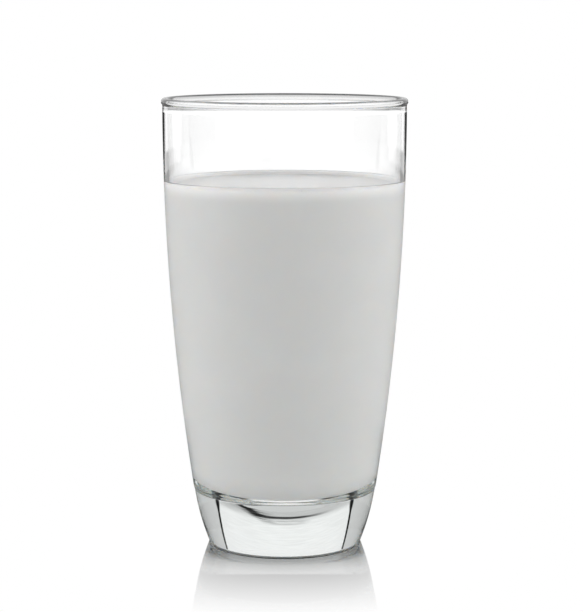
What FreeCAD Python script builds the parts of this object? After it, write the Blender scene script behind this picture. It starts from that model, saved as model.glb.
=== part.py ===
"""A glass of milk: a clear, heavy-based tumbler filled with milk almost to its rim.

Millimetres, +Z up. The origin is the centre of the ring that the glass stands on.
Both pieces are bodies of revolution about Z, so each is drawn as a half-section in
the XZ plane, where a point is (radius, height), and turned once round the axis.
"""
import FreeCAD, Part

import math
import os

# --- The tumbler, outside ---------------------------------------------------------
HEIGHT = 140.0             # floor to the top of the rim bead
RIM_RADIUS = 38.35         # widest point of the rim bead
BODY_FOOT_RADIUS = 28.87   # bottom of the body, where the mould's body and foot meet
BODY_FOOT_HEIGHT = 18.3    # height of that joint
STEP_IN = 0.17             # how far the foot is set in from the body there
STEP_LENGTH = 1.5          # length of wall over which the step is rounded
FOOT_RADIUS = 23.85        # where the foot's curve would meet the floor, before its heel
HEEL_RADIUS = 1.3          # rounding between the foot and the underside
BEARING_WIDTH = 2.4        # flat ring that touches the table
PUNT_DEPTH = 1.8           # rise of the hollow underside at the axis

# --- The rim bead -----------------------------------------------------------------
BEAD_TUBE_RADIUS = 1.1     # the fire-polished bead is a round roll of glass
BEAD_STAND = 0.43          # how far it stands out from the wall below it
NECK_FILLET = 1.0          # hollow that blends the bead into the wall, inside and out

# --- The tumbler, inside ----------------------------------------------------------
WALL_TOP = 1.4             # wall under the bead
WALL_LOW = 5.0             # wall beside the top of the rounded well
BASE_THICKNESS = 16.6      # solid glass from the floor to the bottom of the well
WELL_RADIUS = 10.0         # round corner between the wall and the bottom of the well

# --- The milk ---------------------------------------------------------------------
FREEBOARD = 26.5           # from the top of the rim down to the flat middle of its surface
MENISCUS_RISE = 1.2        # how far the milk climbs the wall
MENISCUS_REACH = 3.2       # how far from the wall it starts to climb


def at(radius, height):
    """Point of the half-section."""
    return FreeCAD.Vector(radius, 0, height)


def line(start, end):
    """Straight edge of the half-section."""
    return Part.LineSegment(start, end).toShape()


def arc(start, end, centre):
    """The shorter arc from start to end about a centre that is equally far from both."""
    outward = (start - centre) + (end - centre)
    middle = centre + outward.normalize() * (start - centre).Length
    return Part.Arc(start, middle, end).toShape()


def turn(edges):
    """Solid made by turning a closed half-section once round the Z axis."""
    face = Part.Face(Part.Wire(edges))
    solid = face.revolve(FreeCAD.Vector(0, 0, 0), FreeCAD.Vector(0, 0, 1), 360)
    if solid.Volume < 0:
        solid.reverse()
    return solid


class Circle:
    """A circle of the half-section, as its centre and radius."""

    def __init__(self, centre, radius):
        self.centre = centre
        self.radius = radius

    def radius_at(self, height):
        """Distance from the Z axis of the circle's outer side at a height."""
        rise = height - self.centre.z
        return self.centre.x + math.sqrt(self.radius ** 2 - rise ** 2)

    def towards(self, point):
        """Point of the circle on the ray from its centre through another point."""
        return self.centre + (point - self.centre).normalize() * self.radius


def upright_arc(top, low):
    """Circle that stands upright at its top point and passes through a lower point."""
    inward = top.x - low.x
    radius = (inward ** 2 + (top.z - low.z) ** 2) / (2 * inward)
    return Circle(at(top.x - radius, top.z), radius)


def arc_square_to(normal, start, end):
    """Circle through two points that is square to an outward direction at the first."""
    span = start - end
    radius = span.dot(span) / (2 * normal.dot(span))
    return Circle(start - normal * radius, radius)


def nested(circle, radius, floor):
    """Circle of a given radius that lies on a level floor and touches another inside."""
    height = floor + radius
    drop = height - circle.centre.z
    across = math.sqrt((circle.radius - radius) ** 2 - drop ** 2)
    return Circle(at(circle.centre.x + across, height), radius)


def bead():
    """Circle of the rim bead."""
    return Circle(at(RIM_RADIUS - BEAD_TUBE_RADIUS, HEIGHT - BEAD_TUBE_RADIUS), BEAD_TUBE_RADIUS)


def neck(wall, side):
    """Hollow fillet between the bead and an upright wall; side is 1 outside, -1 inside."""
    roll = bead()
    across = side * (wall - roll.centre.x) + NECK_FILLET
    drop = math.sqrt((BEAD_TUBE_RADIUS + NECK_FILLET) ** 2 - across ** 2)
    return Circle(at(wall + side * NECK_FILLET, roll.centre.z - drop), NECK_FILLET)


OUTER_WALL = RIM_RADIUS - BEAD_STAND
INNER_WALL = OUTER_WALL - WALL_TOP
OUTER_NECK = neck(OUTER_WALL, 1)
INNER_NECK = neck(INNER_WALL, -1)

# Outside, a long belly curve ends in a small rounded step. The foot's curve starts below
# it in the same direction, and the heel lies in that one.
BELLY_TOP = at(OUTER_WALL, OUTER_NECK.centre.z)
BODY_FOOT = at(BODY_FOOT_RADIUS, BODY_FOOT_HEIGHT)
BELLY = upright_arc(BELLY_TOP, BODY_FOOT)
OUTWARD = (BODY_FOOT - BELLY.centre).normalize()
DOWNWARD = FreeCAD.Vector(OUTWARD.z, 0, -OUTWARD.x)
STEP_CURVE = (STEP_LENGTH ** 2 + STEP_IN ** 2) / (4 * STEP_IN)
FOOT_TOP = BODY_FOOT + DOWNWARD * STEP_LENGTH - OUTWARD * STEP_IN
FOOT = arc_square_to(OUTWARD, FOOT_TOP, at(FOOT_RADIUS, 0))
HEEL = nested(FOOT, HEEL_RADIUS, 0)

# Inside, the wall's curve keeps WALL_TOP at the neck and WALL_LOW beside the well's corner.
WELL_TOP_HEIGHT = BASE_THICKNESS + WELL_RADIUS
WELL_TOP_RADIUS = BELLY.radius_at(WELL_TOP_HEIGHT) - WALL_LOW
CAVITY_TOP = at(INNER_WALL, INNER_NECK.centre.z)
CAVITY = upright_arc(CAVITY_TOP, at(WELL_TOP_RADIUS, WELL_TOP_HEIGHT))
# The round corner never reaches past the axis when the well is narrow.
WELL = nested(CAVITY, min(WELL_RADIUS, 0.9 * WELL_TOP_RADIUS), BASE_THICKNESS)


def well_edges():
    """Bottom of the well from the axis out, and its round corner up to the wall's curve."""
    flat_end = at(WELL.centre.x, BASE_THICKNESS)
    corner_end = CAVITY.centre + (WELL.centre - CAVITY.centre).normalize() * CAVITY.radius
    edges = [line(at(0, BASE_THICKNESS), flat_end), arc(flat_end, corner_end, WELL.centre)]
    return edges, corner_end


def underside_edges():
    """Hollow punt from the axis out, the flat bearing ring, and the round heel."""
    ring_outer = at(HEEL.centre.x, 0)
    ring_inner = at(HEEL.centre.x - BEARING_WIDTH, 0)
    punt_radius = (ring_inner.x ** 2 + PUNT_DEPTH ** 2) / (2 * PUNT_DEPTH)
    punt_centre = at(0, PUNT_DEPTH - punt_radius)
    heel_end = FOOT.towards(HEEL.centre)
    edges = [
        arc(at(0, PUNT_DEPTH), ring_inner, punt_centre),
        line(ring_inner, ring_outer),
        arc(ring_outer, heel_end, HEEL.centre),
    ]
    return edges, heel_end


def step_edges():
    """Rounded step between foot and body: hollow above the foot, round under the body."""
    middle = (FOOT_TOP + BODY_FOOT) * 0.5
    return [
        arc(FOOT_TOP, middle, FOOT_TOP + OUTWARD * STEP_CURVE),
        arc(middle, BODY_FOOT, BODY_FOOT - OUTWARD * STEP_CURVE),
    ]


def rim_edges():
    """Outer neck, the bead over its crest, and the inner neck, from outside to inside."""
    roll = bead()
    crest = at(roll.centre.x, HEIGHT)
    bead_outer = roll.towards(OUTER_NECK.centre)
    bead_inner = roll.towards(INNER_NECK.centre)
    outermost = at(RIM_RADIUS, roll.centre.z)
    innermost = at(RIM_RADIUS - 2 * BEAD_TUBE_RADIUS, roll.centre.z)
    return [
        arc(BELLY_TOP, bead_outer, OUTER_NECK.centre),
        arc(bead_outer, outermost, roll.centre),
        arc(outermost, crest, roll.centre),
        arc(crest, innermost, roll.centre),
        arc(innermost, bead_inner, roll.centre),
        arc(bead_inner, CAVITY_TOP, INNER_NECK.centre),
    ]


def tumbler():
    """The glass: underside, foot, step, body, rim bead, then down the inside to the well."""
    underside, heel_end = underside_edges()
    well, corner_end = well_edges()
    foot = [arc(heel_end, FOOT_TOP, FOOT.centre)]
    body = [arc(BODY_FOOT, BELLY_TOP, BELLY.centre)]
    outside = foot + step_edges() + body
    inside = [arc(CAVITY_TOP, corner_end, CAVITY.centre)]
    axis = [line(at(0, BASE_THICKNESS), at(0, PUNT_DEPTH))]
    return turn(underside + outside + rim_edges() + inside + well[::-1] + axis)


def milk():
    """The drink: it fills the well and climbs the wall a little all round its surface."""
    well, corner_end = well_edges()
    level = HEIGHT - FREEBOARD
    contact_height = level + MENISCUS_RISE
    contact = at(CAVITY.radius_at(contact_height), contact_height)
    flat_end = at(contact.x - MENISCUS_REACH, level)
    curl = (MENISCUS_REACH ** 2 + MENISCUS_RISE ** 2) / (2 * MENISCUS_RISE)
    surface = [
        arc(contact, flat_end, at(flat_end.x, level + curl)),
        line(flat_end, at(0, level)),
    ]
    side = [arc(corner_end, contact, CAVITY.centre)]
    axis = [line(at(0, level), at(0, BASE_THICKNESS))]
    return turn(well + side + surface + axis)


os.makedirs("parts", exist_ok=True)
for name, shape in {"tumbler": tumbler(), "milk": milk()}.items():
    shape.exportStep("parts/" + name + ".step")
    box = shape.optimalBoundingBox()
    print(f"{name}: valid {shape.isValid()}, {shape.Volume / 1000:.1f} cm3, "
          f"{box.XLength:.2f} x {box.YLength:.2f} x {box.ZLength:.2f} mm")
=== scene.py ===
"""A glass of milk: the finished glass, the drink in it and the studio round them.

Metres, +Z up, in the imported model's own frame. Both CAD pieces are bodies of
revolution about Z, and each is replaced here by the same form with smooth curves.
"""
import logging
import math
from dataclasses import dataclass, field
from enum import Enum
from functools import cache

import bpy
import numpy as np
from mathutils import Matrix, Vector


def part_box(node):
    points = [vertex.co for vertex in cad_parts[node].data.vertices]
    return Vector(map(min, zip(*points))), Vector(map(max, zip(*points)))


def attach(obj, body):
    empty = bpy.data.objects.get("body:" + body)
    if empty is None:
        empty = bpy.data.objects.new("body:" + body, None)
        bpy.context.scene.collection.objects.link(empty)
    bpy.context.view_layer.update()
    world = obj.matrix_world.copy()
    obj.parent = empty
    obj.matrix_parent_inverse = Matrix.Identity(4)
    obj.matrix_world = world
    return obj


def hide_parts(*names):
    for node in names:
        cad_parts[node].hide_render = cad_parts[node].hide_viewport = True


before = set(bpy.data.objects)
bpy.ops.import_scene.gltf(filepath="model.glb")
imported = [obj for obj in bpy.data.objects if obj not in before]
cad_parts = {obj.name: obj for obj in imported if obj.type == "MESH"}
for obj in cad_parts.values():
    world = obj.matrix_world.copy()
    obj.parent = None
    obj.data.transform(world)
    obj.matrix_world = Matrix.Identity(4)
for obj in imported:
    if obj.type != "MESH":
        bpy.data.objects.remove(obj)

LOG = logging.getLogger("glass_of_milk")
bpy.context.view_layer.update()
MM = 0.001
BODY = "root"

# Smooth noise mostly lies between these two.
NOISE_BAND = (0.3, 0.7)
# More than this many meetings with a surface of a kind means at least one.
HALF_PASS = 0.5
# A ray through both walls of the empty part of the glass crosses four surfaces.
WALL_PASSES = 3.5


class Node(Enum):
    """CAD nodes that the finished pieces stand for."""

    TUMBLER = "tumbler"
    MILK = "milk"


class Slot(Enum):
    """Material slots of the record."""

    GLASS = "glass"
    MILK = "milk"


# --- Half-sections ------------------------------------------------------------------


@dataclass(frozen=True)
class Circle:
    """A circle of a half-section, where a point is (radius, height)."""

    centre: np.ndarray
    radius: float

    def radius_at(self, height: float) -> float:
        """Distance from the axis of the circle's outer side at a height."""
        return float(self.centre[0] + math.sqrt(self.radius**2 - (height - self.centre[1]) ** 2))

    def towards(self, point: np.ndarray) -> np.ndarray:
        """Point of the circle on the ray from its centre through another point."""
        ray = point - self.centre
        return self.centre + ray / np.linalg.norm(ray) * self.radius

    def grown(self, by: float) -> "Circle":
        """The same circle with a larger radius."""
        return Circle(self.centre, self.radius + by)


def at(radius: float, height: float) -> np.ndarray:
    """Point of a half-section."""
    return np.array([radius, height], float)


def arc(start: np.ndarray, end: np.ndarray, centre: np.ndarray, count: int) -> np.ndarray:
    """The shorter arc between two points, without its last one.

    The angle about the centre runs evenly from the start's to the end's, the short way,
    and the radius runs evenly too, so that a small mismatch is spread over the arc.

    Args:
        start: First point, as radius and height.
        end: Last point, which the next stretch of the outline begins with.
        centre: Centre of the arc.
        count: Number of points.

    Returns:
        Points along the arc, one row each.
    """
    first, last = start - centre, end - centre
    angle = math.atan2(first[1], first[0])
    sweep = (math.atan2(last[1], last[0]) - angle + math.pi) % (2 * math.pi) - math.pi
    share = np.arange(count) / count
    turn = angle + sweep * share
    reach = np.linalg.norm(first) * (1 - share) + np.linalg.norm(last) * share
    return centre + reach[:, None] * np.stack([np.cos(turn), np.sin(turn)], axis=1)


def line(start: np.ndarray, end: np.ndarray, count: int) -> np.ndarray:
    """Evenly spaced points of a straight stretch, without its last one.

    Args:
        start: First point.
        end: Point that the next stretch begins with.
        count: Number of points.

    Returns:
        Points along the stretch, one row each.
    """
    share = (np.arange(count) / count)[:, None]
    return start * (1 - share) + end * share


def upright_arc(top: np.ndarray, low: np.ndarray) -> Circle:
    """Circle that stands upright at its top point and passes through a lower point.

    Args:
        top: Point where the circle is upright, on its outer side.
        low: Lower point.

    Returns:
        The circle.
    """
    inward, drop = top - low
    radius = (inward**2 + drop**2) / (2 * inward)
    return Circle(at(top[0] - radius, top[1]), radius)


def arc_square_to(normal: np.ndarray, start: np.ndarray, end: np.ndarray) -> Circle:
    """Circle through two points that is square to an outward direction at the first.

    Args:
        normal: Outward direction of length 1 at the first point.
        start: First point.
        end: Second point.

    Returns:
        The circle.
    """
    span = start - end
    radius = span @ span / (2 * normal @ span)
    return Circle(start - normal * radius, radius)


def nested(circle: Circle, radius: float, floor: float) -> Circle:
    """Circle of a given radius that lies on a level floor and touches another inside.

    Args:
        circle: The circle that it touches.
        radius: Its radius.
        floor: Height of the floor.

    Returns:
        The circle.
    """
    height = floor + radius
    across = math.sqrt((circle.radius - radius) ** 2 - (height - circle.centre[1]) ** 2)
    return Circle(at(circle.centre[0] + across, height), radius)


# --- Meshes -------------------------------------------------------------------------


def revolved(outline: np.ndarray, segments: int) -> tuple[np.ndarray, list[tuple[int, ...]]]:
    """Closed surface made by turning an outline whose two ends lie on the axis.

    A point at angle a and outline place s is (r(s) cos a, r(s) sin a, z(s)). The two
    ends are single points, joined to the first and last rings by triangles.

    Args:
        outline: Points as radius and height, from one pole to the other, with the
            solid on the left of the direction of travel.
        segments: Number of steps round the axis.

    Returns:
        Vertex positions, and faces as tuples of vertex numbers that face outwards.
    """
    angle = np.linspace(0, 2 * math.pi, segments, endpoint=False)
    rings = outline[1:-1]
    grid = np.stack(
        [
            rings[:, :1] * np.cos(angle),
            rings[:, :1] * np.sin(angle),
            np.broadcast_to(rings[:, 1:], (len(rings), segments)),
        ],
        axis=2,
    )
    poles = np.array([[0, 0, outline[0, 1]], [0, 0, outline[-1, 1]]])
    vertices = np.concatenate([grid.reshape(-1, 3), poles])
    ring = np.arange(len(rings) * segments).reshape(len(rings), segments)
    after = np.roll(ring, -1, axis=1)
    quads = np.stack([ring[:-1], after[:-1], after[1:], ring[1:]], axis=2).reshape(-1, 4)
    first, last = len(vertices) - 2, len(vertices) - 1
    bottom = np.stack([np.full(segments, first), after[0], ring[0]], axis=1)
    top = np.stack([ring[-1], after[-1], np.full(segments, last)], axis=1)
    faces = [tuple(face) for part in (quads, bottom, top) for face in part.tolist()]
    return vertices, faces


def new_piece(name: str, vertices: np.ndarray, faces: list[tuple[int, ...]]) -> bpy.types.Object:
    """Smooth-shaded mesh object at the origin.

    Args:
        name: Name of the piece.
        vertices: Positions in the row frame, in metres.
        faces: Tuples of vertex numbers.

    Returns:
        The new object, linked to the scene.
    """
    mesh = bpy.data.meshes.new(name)
    mesh.from_pydata(vertices.tolist(), [], faces)
    mesh.polygons.foreach_set("use_smooth", np.ones(len(faces), bool))
    mesh.update()
    piece = bpy.data.objects.new(name, mesh)
    bpy.context.scene.collection.objects.link(piece)
    return piece


# --- Materials ----------------------------------------------------------------------


def new_material(name: str) -> tuple[bpy.types.Material, bpy.types.Node]:
    """Material with nodes, and its Principled shader.

    Args:
        name: Name of the material.

    Returns:
        The material and the shader.
    """
    material = bpy.data.materials.new(name)
    material.use_nodes = True
    return material, material.node_tree.nodes["Principled BSDF"]


class Shaders:
    """Adds nodes to one node tree and joins them, so that a formula reads as nested calls."""

    def __init__(self, tree: bpy.types.NodeTree) -> None:
        """Keeps the tree."""
        self.tree = tree

    def node(self, kind: str, **settings: object) -> bpy.types.Node:
        """Adds a node of a kind, with its own settings.

        Args:
            kind: Type of the node, without its prefix.
            settings: Value for each setting by name.

        Returns:
            The node.
        """
        node = self.tree.nodes.new("ShaderNode" + kind)
        for name, value in settings.items():
            setattr(node, name, value)
        return node

    def feed(self, socket: bpy.types.NodeSocket, value: object) -> None:
        """Links a socket to another socket, or gives it a plain value.

        Args:
            socket: Input that is fed.
            value: Output socket or plain value.
        """
        if isinstance(value, bpy.types.NodeSocket):
            self.tree.links.new(value, socket)
        else:
            socket.default_value = value

    def math(self, operation: str, *values: object) -> bpy.types.NodeSocket:
        """Result of a Math node.

        Args:
            operation: Name of the operation.
            values: Sockets or numbers, in the order of the node's inputs.

        Returns:
            The node's output socket.
        """
        node = self.node("Math", operation=operation)
        for socket, value in zip(node.inputs, values):
            self.feed(socket, value)
        return node.outputs[0]

    def ramp(
        self, value: object, start: object, end: object, low: float = 0.0, high: float = 1.0
    ) -> bpy.types.NodeSocket:
        """Smooth step from one value to another.

        Args:
            value: What the step goes by.
            start: Where the result is low.
            end: Where the result is high; it may lie below start.
            low: Result before the step.
            high: Result after the step.

        Returns:
            The output socket.
        """
        node = self.node("MapRange", interpolation_type="SMOOTHSTEP")
        for name, number in zip(
            ("Value", "From Min", "From Max", "To Min", "To Max"), (value, start, end, low, high)
        ):
            self.feed(node.inputs[name], number)
        return node.outputs["Result"]

    def mix(self, share: object, first: object, second: object) -> bpy.types.NodeSocket:
        """Number that goes from the first value to the second as the share goes from 0 to 1.

        Args:
            share: Share of the second value.
            first: Result at 0.
            second: Result at 1.

        Returns:
            The output socket.
        """
        node = self.node("Mix", data_type="FLOAT")
        for socket, value in zip((node.inputs[0], node.inputs[2], node.inputs[3]), (share, first, second)):
            self.feed(socket, value)
        return node.outputs[0]

    def blend(self, share: object, first: object, second: object) -> bpy.types.NodeSocket:
        """Colour that goes from the first to the second as the share goes from 0 to 1.

        Args:
            share: Share of the second colour.
            first: Colour at 0.
            second: Colour at 1.

        Returns:
            The output socket.
        """
        node = self.node("Mix", data_type="RGBA")
        for socket, value in zip((node.inputs[0], node.inputs[6], node.inputs[7]), (share, first, second)):
            self.feed(socket, value)
        return node.outputs[2]

    def both(self, *shares: object) -> bpy.types.NodeSocket:
        """Product of shares, which is high only where all of them are.

        Args:
            shares: Sockets or numbers; the first is a socket.

        Returns:
            The output socket.
        """
        product = shares[0]
        for share in shares[1:]:
            product = self.math("MULTIPLY", product, share)
        return product

    def away_from(self, value: object, middle: object) -> bpy.types.NodeSocket:
        """How far a value is from a middle one, either way."""
        return self.math("ABSOLUTE", self.math("SUBTRACT", value, middle))

    def place(self) -> bpy.types.NodeSocket:
        """Position in the piece's own frame."""
        return self.node("TexCoord").outputs["Object"]

    def parts(self, vector: bpy.types.NodeSocket) -> bpy.types.bpy_prop_collection:
        """The three numbers of a vector.

        Args:
            vector: Socket of the vector.

        Returns:
            The sockets of x, y and z.
        """
        split = self.node("SeparateXYZ")
        self.feed(split.inputs[0], vector)
        return split.outputs

    def vector(self, *numbers: object) -> bpy.types.NodeSocket:
        """Vector of three numbers.

        Args:
            numbers: Sockets or numbers; those left out are 0.

        Returns:
            The output socket.
        """
        joined = self.node("CombineXYZ")
        for socket, number in zip(joined.inputs, numbers):
            self.feed(socket, number)
        return joined.outputs[0]

    def noise(self, place: object, scale: float, detail: float) -> bpy.types.NodeSocket:
        """Smooth noise about one half, with bumps of 1 / scale.

        Args:
            place: Socket of the place.
            scale: Bumps per unit of length.
            detail: Number of finer layers.

        Returns:
            The output socket.
        """
        node = self.node("TexNoise")
        self.feed(node.inputs["Vector"], place)
        node.inputs["Scale"].default_value = scale
        node.inputs["Detail"].default_value = detail
        return node.outputs[0]

    def bump(self, height: object, distance: float) -> bpy.types.NodeSocket:
        """Normal of a surface raised by a height from 0 to 1 times a distance in metres.

        Args:
            height: Socket of the height.
            distance: Rise at a height of 1, in metres.

        Returns:
            The socket of the normal.
        """
        node = self.node("Bump")
        node.inputs["Strength"].default_value = 1.0
        node.inputs["Distance"].default_value = distance
        self.feed(node.inputs["Height"], height)
        return node.outputs[0]

    def group(self, effect: bpy.types.NodeTree, **values: object) -> bpy.types.NodeSocket:
        """Places a shared effect with its own values.

        Args:
            effect: The node group.
            values: Socket or value for each named input.

        Returns:
            The effect's output socket.
        """
        node = self.node("Group", node_tree=effect)
        for name, value in values.items():
            self.feed(node.inputs[name], value)
        return node.outputs[0]


def new_effect(
    name: str, inputs: dict[str, str], output: str, kind: str
) -> tuple[Shaders, bpy.types.bpy_prop_collection, bpy.types.NodeSocket]:
    """Empty node group with named inputs and one named output.

    Args:
        name: Name of the group.
        inputs: Socket type by input name.
        output: Name of the output.
        kind: Socket type of the output.

    Returns:
        The group's nodes, the sockets of its inputs, and the socket that takes its result.
    """
    tree = bpy.data.node_groups.new(name, "ShaderNodeTree")
    for label, socket_type in inputs.items():
        tree.interface.new_socket(name=label, in_out="INPUT", socket_type=socket_type)
    tree.interface.new_socket(name=output, in_out="OUTPUT", socket_type=kind)
    given = tree.nodes.new("NodeGroupInput").outputs
    taken = tree.nodes.new("NodeGroupOutput").inputs[0]
    return Shaders(tree), given, taken


@cache
def slow_waves() -> bpy.types.NodeTree:
    """Group of long soft waves: smooth noise at (Along x, Along y, Up z) of the place.

    Returns:
        The group, built once.
    """
    nodes, given, height = new_effect(
        "slow_waves",
        {"Place": "NodeSocketVector", "Along": "NodeSocketFloat", "Up": "NodeSocketFloat"},
        "Height",
        "NodeSocketFloat",
    )
    x, y, z = nodes.parts(given["Place"])
    stretched = nodes.vector(
        nodes.math("MULTIPLY", x, given["Along"]),
        nodes.math("MULTIPLY", y, given["Along"]),
        nodes.math("MULTIPLY", z, given["Up"]),
    )
    nodes.feed(height, nodes.noise(stretched, 1.0, 2.0))
    return nodes.tree


@cache
def milk_tone_and_painted_light() -> bpy.types.NodeTree:
    """Group of the milk's colour: painted lighter from Fade Start up to Fade End, a little mottled.

    The share of the painted light is the smooth step of the height between the two, plus smooth noise of
    Mottle Scale taken from -Mottle to +Mottle.

    Returns:
        The group, built once.
    """
    nodes, given, tone = new_effect(
        "milk_tone_and_painted_light",
        {
            "Place": "NodeSocketVector",
            "Fade Start": "NodeSocketFloat",
            "Fade End": "NodeSocketFloat",
            "Mottle Scale": "NodeSocketFloat",
            "Mottle": "NodeSocketFloat",
            "Body": "NodeSocketColor",
            "Painted Light": "NodeSocketColor",
        },
        "Colour",
        "NodeSocketColor",
    )
    height = nodes.parts(given["Place"])[2]
    # Painted light: the colour grows lighter towards the milk's edge.
    top = nodes.ramp(height, given["Fade Start"], given["Fade End"])
    mottle = nodes.noise(given["Place"], 1.0, 3.0)
    nodes.feed(mottle.node.inputs["Scale"], given["Mottle Scale"])
    least = nodes.math("MULTIPLY", given["Mottle"], -1.0)
    uneven = nodes.ramp(mottle, *NOISE_BAND, least, given["Mottle"])
    share = nodes.math("ADD", top, uneven)
    nodes.feed(tone, nodes.blend(share, given["Body"], given["Painted Light"]))
    return nodes.tree


@dataclass(frozen=True)
class ClearGlass:
    """Fire-polished soda-lime glass, clear with a faint green edge; lengths in millimetres.

    The crest of the rim, the line of its neck and the sides of its bead are painted darker in the glass's
    colour, where they fall in the bands of height and of facing that the values give: painted shade for
    the light that the rim's round bead bends away.
    """

    ior: float = 1.52
    tint: tuple[float, float, float] = (0.76, 0.93, 0.86)
    density: float = 3.0
    clear: tuple[float, float, float] = (1.0, 1.0, 1.0)
    # Painted shade: the dark colour of the lines along the rim's crest and neck.
    crest_painted_shade: tuple[float, float, float] = (0.22, 0.23, 0.24)
    crest_start: float = 139.35
    crest_end: float = 139.65
    neck_line: float = 137.1
    neck_half_width: float = 0.35
    neck_core: float = 0.1
    neck_shade_strength: float = 0.75
    neck_facing: tuple[float, float] = (0.1, 0.7)
    # Painted shade: the bead's sides take this black where they are seen edge-on.
    bead_painted_shade: tuple[float, float, float] = (0.0, 0.0, 0.0)
    bead_start: float = 137.5
    bead_blend: float = 0.4
    bead_facing: tuple[float, float] = (0.64, 0.74)
    wave_along: float = 90.0
    wave_up: float = 650.0
    wave_depth: float = 0.0025
    wall_waves: float = 0.12
    foot_waves_end: float = 20.0
    foot_waves_full: float = 16.0

    def material(self) -> bpy.types.Material:
        """Builds the material.

        Returns:
            The material.
        """
        material, shader = new_material("clear_glass")
        nodes = Shaders(material.node_tree)
        place = nodes.place()
        height = nodes.parts(place)[2]
        nodes.feed(shader.inputs["Base Color"], self.colour_with_painted_shade(nodes, height))
        shader.inputs["Roughness"].default_value = 0.0
        shader.inputs["IOR"].default_value = self.ior
        waves = nodes.group(slow_waves(), Place=place, Along=self.wave_along, Up=self.wave_up)
        at_foot = nodes.ramp(height, self.foot_waves_end * MM, self.foot_waves_full * MM)
        relief = nodes.math("MULTIPLY", waves, nodes.mix(at_foot, self.wall_waves, 1.0))
        nodes.feed(shader.inputs["Normal"], nodes.bump(relief, self.wave_depth * MM))
        shader.inputs["Transmission Weight"].default_value = 1.0
        absorb = nodes.node("VolumeAbsorption")
        absorb.inputs["Color"].default_value = (*self.tint, 1)
        absorb.inputs["Density"].default_value = self.density
        output = material.node_tree.nodes["Material Output"]
        nodes.feed(output.inputs["Volume"], absorb.outputs["Volume"])
        return material

    def colour_with_painted_shade(self, nodes: Shaders, height: bpy.types.NodeSocket) -> bpy.types.NodeSocket:
        """Colour of the clear glass with the painted shade of its rim: dark lines at the crest and neck,
        and black bead sides seen edge-on.

        Args:
            nodes: The material's nodes.
            height: Height above the table, in metres.

        Returns:
            The colour's socket.
        """
        facing = nodes.node("LayerWeight").outputs["Facing"]
        # Painted shade: a dark line along the crest of the rim, and one at its neck that is darkest where
        # the glass is seen edge-on.
        crest = nodes.ramp(height, self.crest_start * MM, self.crest_end * MM)
        from_neck = nodes.away_from(height, self.neck_line * MM)
        neck = nodes.both(
            nodes.ramp(from_neck, self.neck_half_width * MM, self.neck_core * MM),
            self.neck_shade_strength,
            nodes.ramp(facing, *self.neck_facing),
        )
        lines = nodes.math("MAXIMUM", crest, neck)
        with_painted_lines = nodes.blend(lines, (*self.clear, 1), (*self.crest_painted_shade, 1))
        # Painted shade: the bead's sides are painted black where the glass is seen edge-on.
        bead_full = self.bead_start + self.bead_blend
        on_bead = nodes.ramp(height, self.bead_start * MM, bead_full * MM)
        bead_side_shade = nodes.both(on_bead, nodes.ramp(facing, *self.bead_facing))
        return nodes.blend(bead_side_shade, with_painted_lines, (*self.bead_painted_shade, 1))


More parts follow.
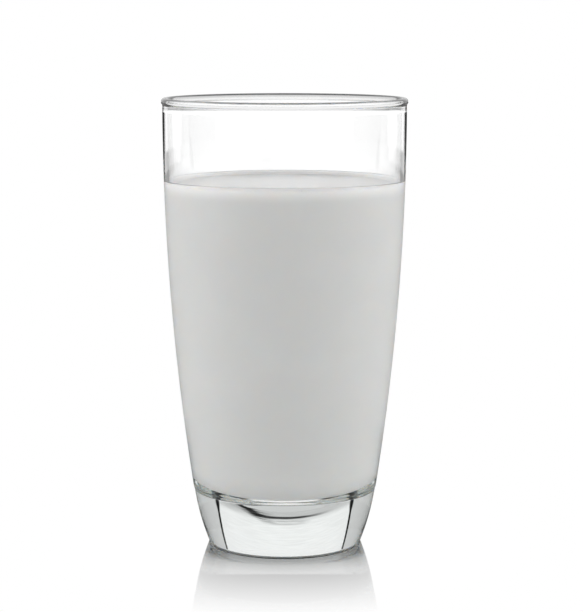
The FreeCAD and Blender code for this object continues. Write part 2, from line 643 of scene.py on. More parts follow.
@dataclass(frozen=True)
class WholeMilk:
    """Opaque white milk, which light enters for a few millimetres.

    Against the glass it mirrors at grazing angles, as any drink of a lower index does.
    Its colour is painted lighter towards the milk's edge, a painted light for the light that comes in
    through the open top and the meniscus, and the open top has a darker copy of the colour, a painted
    shade. Depths, the scale of the reach and the ripple are in millimetres.
    """

    colour: tuple[float, float, float] = (0.8, 0.803, 0.795)
    # Painted light: the milk's colour turns to this near its edge, for light that enters through the top.
    painted_light_colour: tuple[float, float, float] = (0.99, 0.988, 0.983)
    painted_light_depth: float = 5.0
    # Painted shade: the open top's colour is a darker copy of the milk's.
    surface_painted_shade_colour: tuple[float, float, float] = (0.76, 0.76, 0.752)
    # Painted light: over this last rise to the glass the open top turns to the lighter colour, for the
    # bright line at the meniscus.
    surface_painted_light_rise: float = 0.9
    mottle: float = 0.07
    mottle_scale: float = 70.0
    reach: tuple[float, float, float] = (1.0, 0.88, 0.76)
    scale: float = 2.0
    ior: float = 1.35
    glass_ior: float = 1.52
    side_specular: float = 0.02
    side_roughness: float = 0.5
    wet_specular: float = 0.03
    wet_roughness: float = 0.08
    ripple: float = 0.02
    ripple_size: float = 9.0
    foam_grain: float = 1500.0
    foam_least: float = 0.97
    foam_roughness: float = 0.3

    def body(
        self, name: str, deep: tuple[float, float, float], fade: float, surface: float
    ) -> tuple[bpy.types.Material, bpy.types.Node, Shaders]:
        """Builds what the side and the free surface of the drink have in common.

        Args:
            name: Name of the material.
            deep: Colour below the painted light.
            fade: How far below the milk's edge the painted light begins, in millimetres.
            surface: Height of the milk's edge, in millimetres.

        Returns:
            The material, its shader and its nodes.
        """
        material, shader = new_material(name)
        nodes = Shaders(material.node_tree)
        values = {
            "Place": nodes.place(),
            "Fade Start": (surface - fade) * MM,
            "Fade End": surface * MM,
            "Mottle Scale": self.mottle_scale,
            "Mottle": self.mottle,
            "Body": (*deep, 1),
            "Painted Light": (*self.painted_light_colour, 1),
        }
        nodes.feed(shader.inputs["Base Color"], nodes.group(milk_tone_and_painted_light(), **values))
        shader.inputs["IOR"].default_value = self.ior
        shader.inputs["Subsurface Weight"].default_value = 1.0
        shader.inputs["Subsurface Radius"].default_value = self.reach
        shader.inputs["Subsurface Scale"].default_value = self.scale * MM
        return material, shader, nodes

    def in_glass(self, surface: float) -> bpy.types.Material:
        """Builds the side that lies against the glass.

        Args:
            surface: Height of the milk's edge, in millimetres.

        Returns:
            The material.
        """
        material, shader, nodes = self.body("milk_in_glass", self.colour, self.painted_light_depth, surface)
        shader.inputs["Specular IOR Level"].default_value = self.side_specular
        grazing = nodes.node("Fresnel")
        grazing.inputs["IOR"].default_value = self.ior / self.glass_ior
        mirror = grazing.outputs[0]
        nodes.feed(shader.inputs["Metallic"], mirror)
        rough = nodes.ramp(mirror, 0.0, 1.0, self.side_roughness, 0.0)
        nodes.feed(shader.inputs["Roughness"], rough)
        return material

    def free_surface(self, surface: float) -> bpy.types.Material:
        """Builds the open top.

        Args:
            surface: Height of the milk's edge, in millimetres.

        Returns:
            The material.
        """
        # Painted shade and light: the open top takes the darker copy of the colour and turns lighter in
        # its rise to the glass.
        material, shader, nodes = self.body("milk_surface", self.surface_painted_shade_colour, self.surface_painted_light_rise, surface)
        shader.inputs["Specular IOR Level"].default_value = self.wet_specular
        shader.inputs["Roughness"].default_value = self.wet_roughness
        per_metre = 1 / (self.ripple_size * MM)
        waves = nodes.group(slow_waves(), Place=nodes.place(), Along=per_metre, Up=per_metre)
        nodes.feed(shader.inputs["Normal"], nodes.bump(waves, self.ripple * MM))
        return material

    def foam(self) -> bpy.types.Material:
        """Builds the whiter, unevenly bright material of the bubbles.

        Returns:
            The material.
        """
        material, shader = new_material("milk_foam")
        nodes = Shaders(material.node_tree)
        grain = nodes.noise(nodes.place(), self.foam_grain, 2.0)
        shade = nodes.ramp(grain, *NOISE_BAND, self.foam_least, 1.0)
        tone = nodes.node("CombineColor")
        for socket in tone.inputs[:3]:
            nodes.feed(socket, shade)
        nodes.feed(shader.inputs["Base Color"], tone.outputs[0])
        shader.inputs["IOR"].default_value = self.ior
        shader.inputs["Roughness"].default_value = self.foam_roughness
        return material


# --- The glass ----------------------------------------------------------------------


@dataclass
class Tumbler:
    """The heavy-based drinking glass; lengths in millimetres, as on its drawing."""

    body_foot_radius: float = 28.87
    body_foot_height: float = 18.3
    step_in: float = 0.17
    step_length: float = 1.5
    foot_radius: float = 23.85
    heel_radius: float = 1.3
    bearing_width: float = 2.4
    punt_depth: float = 1.8
    bead_tube_radius: float = 1.1
    bead_stand: float = 0.43
    neck_fillet: float = 1.0
    wall_top: float = 1.4
    wall_low: float = 5.0
    base_thickness: float = 16.6
    well_radius: float = 10.0
    segments: int = 288
    height: float = field(init=False)
    rim_radius: float = field(init=False)

    def __post_init__(self) -> None:
        """Takes the overall sizes from the frame and works out the half-section's circles."""
        low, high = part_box(Node.TUMBLER.value)
        self.height = high.z / MM
        self.rim_radius = (high.x - low.x) / 2 / MM
        outer_wall = self.rim_radius - self.bead_stand
        inner_wall = outer_wall - self.wall_top
        self.bead = Circle(
            at(self.rim_radius - self.bead_tube_radius, self.height - self.bead_tube_radius),
            self.bead_tube_radius,
        )
        self.outer_neck = self.neck(outer_wall, 1)
        self.inner_neck = self.neck(inner_wall, -1)
        self.belly_top = at(outer_wall, self.outer_neck.centre[1])
        self.body_foot = at(self.body_foot_radius, self.body_foot_height)
        self.belly = upright_arc(self.belly_top, self.body_foot)
        self.outward = (self.body_foot - self.belly.centre) / self.belly.radius
        downward = at(self.outward[1], -self.outward[0])
        self.foot_top = self.body_foot + downward * self.step_length - self.outward * self.step_in
        self.foot = arc_square_to(self.outward, self.foot_top, at(self.foot_radius, 0))
        self.heel = nested(self.foot, self.heel_radius, 0)
        self.cavity_top = at(inner_wall, self.inner_neck.centre[1])
        well_top = self.base_thickness + self.well_radius
        beside_well = at(self.belly.radius_at(well_top) - self.wall_low, well_top)
        self.cavity = upright_arc(self.cavity_top, beside_well)
        self.well = nested(self.cavity, self.well_radius, self.base_thickness)

    def neck(self, wall: float, side: int) -> Circle:
        """Hollow fillet between the bead and an upright wall.

        Args:
            wall: Radius of the wall.
            side: 1 for the outside, -1 for the inside.

        Returns:
            The fillet's circle, which touches the wall and the bead.
        """
        across = side * (wall - self.bead.centre[0]) + self.neck_fillet
        drop = math.sqrt((self.bead.radius + self.neck_fillet) ** 2 - across**2)
        centre = at(wall + side * self.neck_fillet, self.bead.centre[1] - drop)
        return Circle(centre, self.neck_fillet)

    def well_outline(self, grown: float = 0.0) -> tuple[np.ndarray, Circle, np.ndarray]:
        """Well from the axis out to where its round corner meets the wall.

        Args:
            grown: How far the outline is moved into the glass.

        Returns:
            The outline, the wall's circle above it, and the point where that begins.
        """
        floor = self.base_thickness - grown
        cavity, well = self.cavity.grown(grown), self.well.grown(grown)
        flat_end = at(well.centre[0], floor)
        ray = (well.centre - cavity.centre) / np.linalg.norm(well.centre - cavity.centre)
        corner_end = cavity.centre + ray * cavity.radius
        outline = np.concatenate(
            [line(at(0, floor), flat_end, 6), arc(flat_end, corner_end, well.centre, 40)]
        )
        return outline, cavity, corner_end

    def outline(self) -> np.ndarray:
        """Whole half-section, from the axis underneath round the rim to the axis in the well.

        Returns:
            Points as radius and height, in millimetres.
        """
        ring_outer = at(self.heel.centre[0], 0)
        ring_inner = at(self.heel.centre[0] - self.bearing_width, 0)
        punt_radius = (ring_inner[0] ** 2 + self.punt_depth**2) / (2 * self.punt_depth)
        heel_end = self.foot.towards(self.heel.centre)
        crest = at(self.bead.centre[0], self.height)
        bead_outer = self.bead.towards(self.outer_neck.centre)
        bead_inner = self.bead.towards(self.inner_neck.centre)
        outermost = self.bead.centre + at(self.bead.radius, 0)
        innermost = self.bead.centre - at(self.bead.radius, 0)
        well, _, corner_end = self.well_outline()
        mid = self.bead.centre
        step_middle = (self.foot_top + self.body_foot) / 2
        curve = self.outward * (self.step_length**2 + self.step_in**2) / (4 * self.step_in)
        stretches = [
            arc(at(0, self.punt_depth), ring_inner, at(0, self.punt_depth - punt_radius), 20),
            line(ring_inner, ring_outer, 3),
            arc(ring_outer, heel_end, self.heel.centre, 10),
            arc(heel_end, self.foot_top, self.foot.centre, 24),
            arc(self.foot_top, step_middle, self.foot_top + curve, 6),
            arc(step_middle, self.body_foot, self.body_foot - curve, 6),
            arc(self.body_foot, self.belly_top, self.belly.centre, 60),
            arc(self.belly_top, bead_outer, self.outer_neck.centre, 6),
            arc(bead_outer, outermost, mid, 6),
            arc(outermost, crest, mid, 10),
            arc(crest, innermost, mid, 10),
            arc(innermost, bead_inner, mid, 6),
            arc(bead_inner, self.cavity_top, self.inner_neck.centre, 6),
            arc(self.cavity_top, corner_end, self.cavity.centre, 60),
            corner_end[None],
            well[:0:-1],
            well[:1],
        ]
        return np.concatenate(stretches)

    def build(self) -> bpy.types.Object:
        """Makes the glass and dresses it.

        Returns:
            The piece.
        """
        vertices, faces = revolved(self.outline() * MM, self.segments)
        piece = new_piece("drinking_glass", vertices, faces)
        piece.data.materials.append(ClearGlass().material())
        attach(piece, BODY)
        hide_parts(Node.TUMBLER.value)
        return piece


# --- The milk -----------------------------------------------------------------------


@dataclass
class Milk:
    """The drink, which reaches just into the wall so that no air shows between them."""

    meniscus_rise: float = 1.2
    meniscus_reach: float = 3.2
    bite: float = 0.12
    open_slope: float = 0.3
    open_above: float = 0.98
    segments: int = 288
    contact_height: float = field(init=False)

    def __post_init__(self) -> None:
        """Takes the height of its edge from the frame."""
        self.contact_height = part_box(Node.MILK.value)[1].z / MM

    def build(self, glass: Tumbler) -> bpy.types.Object:
        """Makes the milk and dresses it.

        The outline runs out along the well, up the cavity's wall and back along the free
        surface, whose edge climbs the wall by a round meniscus. Faces that look up by more
        than open_slope, above open_above of the level, take the free surface's material.

        Args:
            glass: The glass that holds it.

        Returns:
            The piece.
        """
        well, cavity, corner_end = glass.well_outline(self.bite)
        level = self.contact_height - self.meniscus_rise
        contact = at(cavity.radius_at(self.contact_height), self.contact_height)
        flat_end = at(contact[0] - self.meniscus_reach, level)
        curl = (self.meniscus_reach**2 + self.meniscus_rise**2) / (2 * self.meniscus_rise)
        side = arc(corner_end, contact, cavity.centre, 60)
        top = np.concatenate(
            [
                arc(contact, flat_end, at(flat_end[0], level + curl), 14),
                line(flat_end, at(0, level), 24),
                at(0, level)[None],
            ]
        )
        outline = np.concatenate([well, side, top])
        vertices, faces = revolved(outline * MM, self.segments)
        piece = new_piece("milk_fill", vertices, faces)
        milk = WholeMilk()
        piece.data.materials.append(milk.in_glass(self.contact_height))
        piece.data.materials.append(milk.free_surface(self.contact_height))
        centres = np.zeros(len(piece.data.polygons) * 3)
        piece.data.polygons.foreach_get("center", centres)
        normals = np.zeros(len(piece.data.polygons) * 3)
        piece.data.polygons.foreach_get("normal", normals)
        free = (normals[2::3] > self.open_slope) & (centres[2::3] > level * MM * self.open_above)
        piece.data.polygons.foreach_set("material_index", free.astype(np.int32))
        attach(piece, BODY)
        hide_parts(Node.MILK.value)
        return piece


@dataclass
class Bubbles:
    """Small bubbles that cling to the glass at the edge of the milk.

    Angles are in degrees from the front towards the right, lengths in millimetres. A
    cluster is the angle of its middle, its half-width in degrees and its number of bubbles.
    """

    clusters: tuple[tuple[float, float, int], ...] = ((11.0, 3.2, 8), (25.0, 2.4, 4), (-14.0, 2.5, 4))
    cluster_depth: tuple[float, float] = (0.5, 1.8)
    stray: int = 12
    stray_depth: tuple[float, float] = (0.5, 1.4)
    least: float = 0.16
    most: float = 0.42
    sunk: float = 0.75
    lengthwise: int = 10
    seed: int = 11

    def places(self) -> list[tuple[float, float, float]]:
        """Angle, depth below the milk's edge and radius of each bubble, by a seeded draw.

        Returns:
            One tuple for each bubble.
        """
        draw = np.random.default_rng(self.seed)
        found = []
        for middle, spread, count in self.clusters:
            for _ in range(count):
                angle = middle + draw.uniform(-spread, spread)
                depth = draw.uniform(*self.cluster_depth)
                found.append((angle, depth, draw.uniform(self.least, self.most)))
        for _ in range(self.stray):
            angle = draw.uniform(0, 360)
            found.append((angle, draw.uniform(*self.stray_depth), self.least))
        return found

    def ball(self, centre: np.ndarray, radius: float) -> tuple[np.ndarray, list[tuple[int, ...]]]:
        """Round bubble: the half-circle (r cos t, r sin t) turned about an upright axis.

        Args:
            centre: Its middle, in millimetres.
            radius: Its radius.

        Returns:
            Vertex positions, and faces as tuples of vertex numbers.
        """
        tilt = np.linspace(-math.pi / 2, math.pi / 2, self.lengthwise)
        outline = np.stack([np.cos(tilt), np.sin(tilt)], axis=1) * radius
        outline[[0, -1], 0] = 0
        vertices, faces = revolved(outline, 2 * self.lengthwise)
        return vertices + centre, faces

    def build(self, glass: Tumbler, milk: Milk) -> bpy.types.Object:
        """Makes all the bubbles as one piece, each with its middle inside the milk's side.

        Args:
            glass: The glass, whose wall they follow.
            milk: The drink, from whose edge their depths are measured.

        Returns:
            The piece.
        """
        vertices, faces = [], []
        for angle, depth, radius in self.places():
            height = milk.contact_height - depth
            out = glass.cavity.radius_at(height) + milk.bite - radius * self.sunk
            turn = math.radians(angle)
            centre = np.array([out * math.sin(turn), -out * math.cos(turn), height])
            ball_vertices, ball_faces = self.ball(centre, radius)
            start = sum(len(block) for block in vertices)
            vertices.append(ball_vertices)
            faces += [tuple(start + corner for corner in face) for face in ball_faces]
        piece = new_piece("milk_bubbles", np.concatenate(vertices) * MM, faces)
        piece.data.materials.append(WholeMilk().foam())
        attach(piece, BODY)
        return piece


# --- The studio ---------------------------------------------------------------------


def past_clear_wall(nodes: Shaders, path: bpy.types.Node) -> bpy.types.NodeSocket:
    """Whether the ray went through both walls of the glass above the milk."""
    return nodes.math("GREATER_THAN", path.outputs["Transmission Depth"], WALL_PASSES)


def lights_milk(nodes: Shaders, path: bpy.types.Node) -> bpy.types.NodeSocket:
    """Whether the ray gathers light for the milk."""
    return nodes.math("GREATER_THAN", path.outputs["Diffuse Depth"], HALF_PASS)


class Sky:
    """The direction that light of the room comes from, as angles in degrees.

    The bearing runs from straight behind the glass towards its sides, and the front
    mirrors the back, so that the glass looks the same from the front as from behind.
    """

    def __init__(self, nodes: Shaders) -> None:
        """Works the angles out of the direction (x, y, z): arcsin(x / level) and arcsin z.

        Args:
            nodes: Nodes that the angles are added to.
        """
        across, _, up = nodes.parts(nodes.node("TexCoord").outputs["Generated"])
        degrees = 180 / math.pi
        level = nodes.math("SQRT", nodes.math("SUBTRACT", 1.0, nodes.math("MULTIPLY", up, up)))
        sideways = nodes.math("DIVIDE", across, nodes.math("MAXIMUM", level, 1e-4))
        self.bearing = nodes.math("MULTIPLY", nodes.math("ARCSINE", sideways), degrees)
        self.off_axis = nodes.math("ABSOLUTE", self.bearing)
        self.height = nodes.math("MULTIPLY", nodes.math("ARCSINE", up), degrees)


@dataclass(frozen=True)
class Backdrop:
    """Bright screen behind the glass, duller walls beside it and soft light from above.

    The screen's edges lean outwards with height, and its foot is dimmer.
    """

    screen: float = 0.95
    side_wall: float = 0.68
    edge: float = 37.0
    lean: float = 3.5
    lean_heights: tuple[float, float] = (3.0, 25.0)
    edge_blend: float = 0.5
    foot_light: float = 0.6
    foot_heights: tuple[float, float] = (0.6, 2.6)
    top_light: float = 0.8
    top_heights: tuple[float, float] = (25.0, 60.0)
    streak_along: float = 0.09
    streak_up: float = 2.4
    streak_band: tuple[float, float] = (0.25, 0.75)
    streak_light: tuple[float, float] = (0.94, 1.04)

    def edge_bearing(self, nodes: Shaders, sky: Sky) -> bpy.types.NodeSocket:
        """How far from the middle the screen reaches, at each height."""
        return nodes.ramp(sky.height, *self.lean_heights, self.edge, self.edge + self.lean)

    def streaks(self, nodes: Shaders, sky: Sky) -> bpy.types.NodeSocket:
        """Smooth noise drawn out sideways: its place is (bearing, height) times two scales.

        Args:
            nodes: Nodes that the result is added to.
            sky: The direction of the light.

        Returns:
            The noise's socket.
        """
        along = nodes.math("MULTIPLY", sky.bearing, self.streak_along)
        up = nodes.math("MULTIPLY", sky.height, self.streak_up)
        return nodes.noise(nodes.vector(along, up), 1.0, 3.0)

    def light(
        self, nodes: Shaders, sky: Sky, edge: bpy.types.NodeSocket, streaks: bpy.types.NodeSocket
    ) -> bpy.types.NodeSocket:
        """Light of the screen, the walls and the ceiling, a little streaked.

        Args:
            nodes: Nodes that the result is added to.
            sky: The direction of the light.
            edge: Bearing of the screen's edge.
            streaks: Noise drawn out sideways.

        Returns:
            The light's socket.
        """
        past_edge = nodes.math("SUBTRACT", sky.off_axis, edge)
        beyond = nodes.ramp(past_edge, -self.edge_blend, self.edge_blend)
        screen = nodes.ramp(sky.height, *self.foot_heights, self.foot_light, self.screen)
        low = nodes.mix(beyond, screen, self.side_wall)
        light = nodes.mix(nodes.ramp(sky.height, *self.top_heights), low, self.top_light)
        grain = nodes.ramp(streaks, *self.streak_band, *self.streak_light)
        return nodes.math("MULTIPLY", light, grain)


@dataclass(frozen=True)
class DarkGap:
    """Dark gap between the screen and the wall beside it, wider at its foot."""

    width: float = 1.3
    foot_width: float = 2.4
    foot_heights: tuple[float, float] = (4.5, 1.5)
    core: float = 0.45
    top: float = 26.0
    top_blend: float = 6.0
    light: float = 0.0

    def shade(
        self, nodes: Shaders, sky: Sky, edge: bpy.types.NodeSocket, light: bpy.types.NodeSocket
    ) -> bpy.types.NodeSocket:
        """Darkens the light along the screen's edge.

        Args:
            nodes: Nodes that the result is added to.
            sky: The direction of the light.
            edge: Bearing of the screen's edge.
            light: Light before it.

        Returns:
            The light's socket.
        """
        width = nodes.ramp(sky.height, *self.foot_heights, self.width, self.foot_width)
        from_edge = nodes.away_from(sky.off_axis, edge)
        across = nodes.ramp(from_edge, width, nodes.math("MULTIPLY", width, self.core))
        upwards = nodes.ramp(sky.height, self.top, self.top - self.top_blend)
        return nodes.mix(nodes.both(across, upwards), light, self.light)


@dataclass(frozen=True)
class DarkShelf:
    """Long dark shelf low behind the glass, thicker and lower on the right.

    A soft smear lies along its right part, and a faint haze over its middle. A pair is
    where a fade begins and where it ends, and strengths run from 0 to 1.
    """

    height: float = 1.2
    drop: float = 1.9
    drop_bearings: tuple[float, float] = (8.0, 24.0)
    half_height: float = 0.4
    right_half_height: float = 0.8
    thick_bearings: tuple[float, float] = (2.0, 16.0)
    core: float = 0.3
    left_end: tuple[float, float] = (-26.0, -6.0)
    right_end: tuple[float, float] = (31.0, 26.0)
    strength: float = 0.93
    smear_half_height: float = 1.5
    smear_left_end: tuple[float, float] = (3.0, 12.0)
    smear_right_end: tuple[float, float] = (33.0, 24.0)
    smear_band: tuple[float, float] = (0.35, 0.6)
    smear_strength: float = 0.85
    haze_above: float = 1.1
    haze_heights: tuple[float, float] = (0.9, 0.2)
    haze_bearings: tuple[float, float] = (14.0, 5.0)
    haze_band: tuple[float, float] = (0.35, 0.65)
    haze_strength: tuple[float, float] = (0.1, 0.5)

    def shade(
        self, nodes: Shaders, sky: Sky, streaks: bpy.types.NodeSocket, light: bpy.types.NodeSocket
    ) -> bpy.types.NodeSocket:
        """Darkens the light along the shelf, the smear and the haze.

        Args:
            nodes: Nodes that the result is added to.
            sky: The direction of the light.
            streaks: Noise drawn out sideways.
            light: Light before it.

        Returns:
            The light's socket.
        """
        lowered = nodes.ramp(sky.bearing, *self.drop_bearings, 0.0, self.drop)
        middle = nodes.math("SUBTRACT", self.height, lowered)
        from_middle = nodes.away_from(sky.height, middle)
        half = nodes.ramp(
            sky.bearing, *self.thick_bearings, self.half_height, self.right_half_height
        )
        strip = nodes.both(
            nodes.ramp(from_middle, half, nodes.math("MULTIPLY", half, self.core)),
            nodes.ramp(sky.bearing, *self.left_end),
            nodes.ramp(sky.bearing, *self.right_end),
            self.strength,
        )
        smear = nodes.both(
            nodes.ramp(from_middle, self.smear_half_height, self.smear_half_height * self.core),
            nodes.ramp(sky.bearing, *self.smear_left_end),
            nodes.ramp(sky.bearing, *self.smear_right_end),
            nodes.ramp(streaks, *self.smear_band),
            self.smear_strength,
        )
        from_haze = nodes.away_from(sky.height, self.height + self.haze_above)
        haze = nodes.both(
            nodes.ramp(from_haze, *self.haze_heights),
            nodes.ramp(sky.off_axis, *self.haze_bearings),
            nodes.ramp(streaks, *self.haze_band, *self.haze_strength),
        )
        for share in (strip, smear, haze):
            light = nodes.mix(share, light, 0.0)
        return light


@dataclass(frozen=True)
class MilkLight:
    """What the room casts on the milk: soft from the front, stronger from its sides.

    The open surface, which is lit past the clear wall, gets more from low down.
    """

    front: float = 1.42
    side: float = 4.75
    side_bearings: tuple[float, float] = (20.0, 90.0)
    top: float = 0.27
    top_heights: tuple[float, float] = (25.0, 60.0)
    surface_low: float = 3.9
    surface_high: float = 0.3
    surface_heights: tuple[float, float] = (14.0, 28.0)

    def light(self, nodes: Shaders, sky: Sky, path: bpy.types.Node) -> bpy.types.NodeSocket:
        """Light by direction, for the milk in the glass and for its open surface.

        Args:
            nodes: Nodes that the result is added to.
            sky: The direction of the light.
            path: What the ray has met on its way.

        Returns:
            The light's socket.
        """
        sides = nodes.ramp(sky.off_axis, *self.side_bearings, self.front, self.side)
        on_side = nodes.mix(nodes.ramp(sky.height, *self.top_heights), sides, self.top)
        on_surface = nodes.ramp(
            sky.height, *self.surface_heights, self.surface_low, self.surface_high
        )
        return nodes.mix(past_clear_wall(nodes, path), on_side, on_surface)


@dataclass(frozen=True)
class Room:
    """Light of the room as the glass sees it; angles in degrees, light as radiance."""

    backdrop: Backdrop = Backdrop()
    gap: DarkGap = DarkGap()
    shelf: DarkShelf = DarkShelf()
    milk: MilkLight = MilkLight()
    horizon: float = -0.35
    horizon_blend: float = 0.3
    below_horizon: float = 1.18
    camera_sees: float = 1.0
    table_sees: float = 2.4

    def light(self, nodes: Shaders) -> bpy.types.NodeSocket:
        """Light of the room by direction, and by what the ray has met on its way.

        Args:
            nodes: Nodes that the result is added to.

        Returns:
            The light's socket.
        """
        sky = Sky(nodes)
        path = nodes.node("LightPath")
        edge = self.backdrop.edge_bearing(nodes, sky)
        streaks = self.backdrop.streaks(nodes, sky)
        light = self.backdrop.light(nodes, sky, edge, streaks)
        light = self.gap.shade(nodes, sky, edge, light)
        light = self.shelf.shade(nodes, sky, streaks, light)
        sunk = nodes.ramp(sky.height, self.horizon, self.horizon - self.horizon_blend)
        light = nodes.mix(sunk, light, self.below_horizon)
        light = nodes.mix(lights_milk(nodes, path), light, self.milk.light(nodes, sky, path))
        met = nodes.math("ADD", path.outputs["Transmission Depth"], path.outputs["Diffuse Depth"])
        direct = nodes.math("LESS_THAN", met, HALF_PASS)
        blurred = nodes.math("SUBTRACT", 1.0, path.outputs["Is Singular Ray"])
        light = nodes.mix(nodes.both(direct, blurred), light, self.table_sees)
        return nodes.mix(path.outputs["Is Camera Ray"], light, self.camera_sees)


@dataclass(frozen=True)
class TableFinish:
    """A table that mirrors the glass at its foot and fades to white away from it.

    Lengths are in millimetres and angles in degrees. What the glass and the milk see of
    it is given as light: far strips of it, called spokes, are seen through the glass.
    """

    gloss: float = 0.42
    blur: float = 0.02
    through_glass: float = 1.13
    through_base: float = 0.66
    on_milk: float = 0.62
    far_spokes: float = 0.02
    under: float = 1.15
    under_sides: float = 0.05
    under_middle: tuple[float, float] = (9.8, 14.0)
    under_end: tuple[float, float] = (24.0, 23.0)
    foot: float = 0.06
    near: float = 0.35
    near_start: tuple[float, float] = (120.0, 200.0)
    near_end: tuple[float, float] = (1350.0, 1450.0)
    spoke_step: float = 90.0
    spoke_half_width: float = 24.0
    spoke_blend: float = 0.02
    foot_shade: float = 0.18
    foot_shade_start: tuple[float, float] = (30.0, 50.0)
    foot_shade_end: tuple[float, float] = (396.0, 264.0)
    fade: tuple[tuple[float, float], ...] = (
        (24.0, 1.0),
        (29.0, 0.97),
        (34.0, 0.68),
        (43.0, 0.43),
        (60.0, 0.28),
        (80.0, 0.1),
        (92.0, 0.0),
    )

    def material(self) -> bpy.types.Material:
        """Builds the material.

        Returns:
            The material.
        """
        material, principled = new_material("pale_table")
        tree = material.node_tree
        tree.nodes.remove(principled)
        nodes = Shaders(tree)
        path = nodes.node("LightPath")
        place = nodes.place()
        away = nodes.node("VectorMath", operation="LENGTH")
        nodes.feed(away.inputs[0], place)
        distance = away.outputs["Value"]
        seen = self.seen(nodes, distance)
        glow = nodes.node("Emission")
        nodes.feed(glow.inputs["Strength"], self.light(nodes, path, place, distance))
        choice = nodes.node("MixShader")
        nodes.feed(choice.inputs[0], path.outputs["Is Camera Ray"])
        nodes.feed(choice.inputs[1], glow.outputs[0])
        nodes.feed(choice.inputs[2], seen)
        nodes.feed(tree.nodes["Material Output"].inputs["Surface"], choice.outputs[0])
        return material

    def seen(self, nodes: Shaders, distance: bpy.types.NodeSocket) -> bpy.types.NodeSocket:
        """Shader of the table itself: a soft mirror at the foot that fades into white.

        Args:
            nodes: Nodes that the result is added to.
            distance: Distance from the glass's axis, in metres.

        Returns:
            The shader's socket.
        """
        reach = self.fade[-1][0] * MM
        curve = nodes.node("ValToRGB")
        stops = curve.color_ramp.elements
        stops[0].position, stops[1].position = self.fade[0][0] * MM / reach, 1.0
        stops[0].color, stops[1].color = (1, 1, 1, 1), (0, 0, 0, 1)
        for radius, share in self.fade[1:-1]:
            stop = stops.new(radius * MM / reach)
            stop.color = (share, share, share, 1)
        nodes.feed(curve.inputs["Fac"], nodes.math("DIVIDE", distance, reach))
        gloss = nodes.node("BsdfGlossy")
        gloss.inputs["Color"].default_value = (self.gloss, self.gloss, self.gloss, 1)
        gloss.inputs["Roughness"].default_value = self.blur
        shader = nodes.node("MixShader")
        nodes.feed(shader.inputs[0], curve.outputs["Color"])
        nodes.feed(shader.inputs[1], nodes.node("Emission").outputs[0])
        nodes.feed(shader.inputs[2], gloss.outputs[0])
        return shader.outputs[0]

    def band(
        self, nodes: Shaders, value: object, ends: tuple[float, float], *levels: float
    ) -> bpy.types.NodeSocket:
        """Smooth step of a length in metres between two ends in millimetres."""
        return nodes.ramp(value, ends[0] * MM, ends[1] * MM, *levels)

    def mirrored(
        self, nodes: Shaders, place: bpy.types.NodeSocket, distance: bpy.types.NodeSocket
    ) -> bpy.types.NodeSocket:
        """Light of the table in a mirror of the glass: dark at the foot, spokes far out.

        Args:
            nodes: Nodes that the result is added to.
            place: Place on the table.
            distance: Distance from the glass's axis, in metres.

        Returns:
            The light's socket.
        """
        across, along, _ = nodes.parts(place)
        bearing = nodes.math("ARCTAN2", across, along)
        step = math.radians(self.spoke_step)
        off_spoke = nodes.math("ABSOLUTE", nodes.math("WRAP", bearing, step / 2, -step / 2))
        edge = math.radians(self.spoke_half_width)
        inner, outer = edge - self.spoke_blend, edge + self.spoke_blend
        spoke = nodes.ramp(off_spoke, outer, inner, self.through_glass, self.far_spokes)
        far = self.band(nodes, distance, self.near_end)
        nearby = self.band(nodes, distance, self.near_start, self.foot, self.near)
        return nodes.mix(far, nearby, spoke)

    def light(
        self,
        nodes: Shaders,
        path: bpy.types.Node,
        place: bpy.types.NodeSocket,
        distance: bpy.types.NodeSocket,
    ) -> bpy.types.NodeSocket:
        """Light of the table for the rays of the glass and the milk.

        Args:
            nodes: The material's nodes.
            path: What the ray has met on its way.
            place: Place on the table.
            distance: Distance from the glass's axis, in metres.

        Returns:
            The light's socket.
        """
        shaded = nodes.both(
            self.band(nodes, distance, self.foot_shade_start),
            self.band(nodes, distance, self.foot_shade_end),
        )
        below = nodes.mix(shaded, self.through_base, self.foot_shade)
        clear = nodes.mix(past_clear_wall(nodes, path), below, self.through_glass)
        reflected = nodes.math("GREATER_THAN", path.outputs["Glossy Depth"], HALF_PASS)
        light = nodes.mix(reflected, clear, self.mirrored(nodes, place, distance))
        off_middle = nodes.math("ABSOLUTE", nodes.parts(place)[0])
        beside = self.band(nodes, off_middle, self.under_middle)
        under = self.band(nodes, distance, self.under_end)
        light = nodes.mix(under, light, nodes.mix(beside, self.under, self.under_sides))
        return nodes.mix(lights_milk(nodes, path), light, self.on_milk)


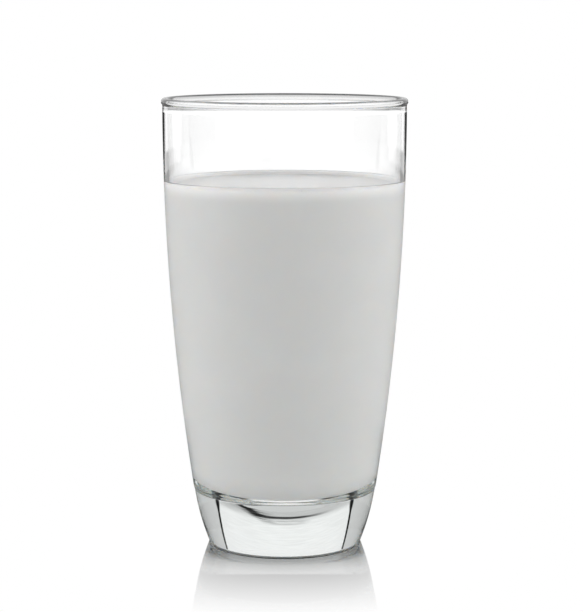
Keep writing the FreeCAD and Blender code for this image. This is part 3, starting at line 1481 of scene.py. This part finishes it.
@dataclass
class Studio:
    """A pale table and the soft light of a bright room."""

    table_radius: float = 3.0
    table_corners: int = 96
    room: Room = Room()
    table: TableFinish = TableFinish()

    def build_table(self) -> bpy.types.Object:
        """Makes the table top, at the height that the glass stands on.

        Returns:
            The piece.
        """
        angle = np.linspace(0, 2 * math.pi, self.table_corners, endpoint=False)
        ring = np.stack([np.cos(angle), np.sin(angle), np.zeros_like(angle)], axis=1)
        face = tuple(range(self.table_corners))
        piece = new_piece("table_top", ring * self.table_radius, [face])
        piece.data.materials.append(self.table.material())
        return piece

    def build_world(self) -> None:
        """Makes the light of the room, as a function of the direction it comes from."""
        world = bpy.data.worlds.new("studio")
        bpy.context.scene.world = world
        world.use_nodes = True
        background = world.node_tree.nodes["Background"]
        background.inputs["Color"].default_value = (1, 1, 1, 1)
        nodes = Shaders(world.node_tree)
        nodes.feed(background.inputs["Strength"], self.room.light(nodes))

    def set_light_paths(self) -> None:
        """Lets light bounce as often as it does between clear glass and milk."""
        cycles = bpy.context.scene.cycles
        cycles.max_bounces = 40
        cycles.diffuse_bounces = 16
        cycles.glossy_bounces = 24
        cycles.transmission_bounces = 32


@dataclass
class Viewpoint:
    """The camera, which looks a little down at the glass from the front."""

    distance: float = 0.700
    height: float = 0.168
    aside: float = 0.00213
    pitch: float = 7.58
    lens: float = 132.35

    def build(self) -> None:
        """Makes the camera and gives it to the scene."""
        data = bpy.data.cameras.new("camera")
        data.lens = self.lens
        data.sensor_width = 36
        camera = bpy.data.objects.new("camera", data)
        camera.location = (self.aside, -self.distance, self.height)
        camera.rotation_euler = (math.radians(90 - self.pitch), 0, 0)
        bpy.context.scene.collection.objects.link(camera)
        bpy.context.scene.camera = camera


def main() -> None:
    """Builds the glass, the milk and the studio, in that order."""
    logging.basicConfig(level=logging.INFO, format="%(message)s")
    bpy.context.scene.view_settings.view_transform = "Standard"
    glass = Tumbler()
    LOG.info("built %s", glass.build().name)
    milk = Milk()
    LOG.info("built %s", milk.build(glass).name)
    LOG.info("built %s", Bubbles().build(glass, milk).name)
    studio = Studio()
    LOG.info("built %s", studio.build_table().name)
    studio.build_world()
    studio.set_light_paths()
    Viewpoint().build()


if __name__ == "__main__":
    main()
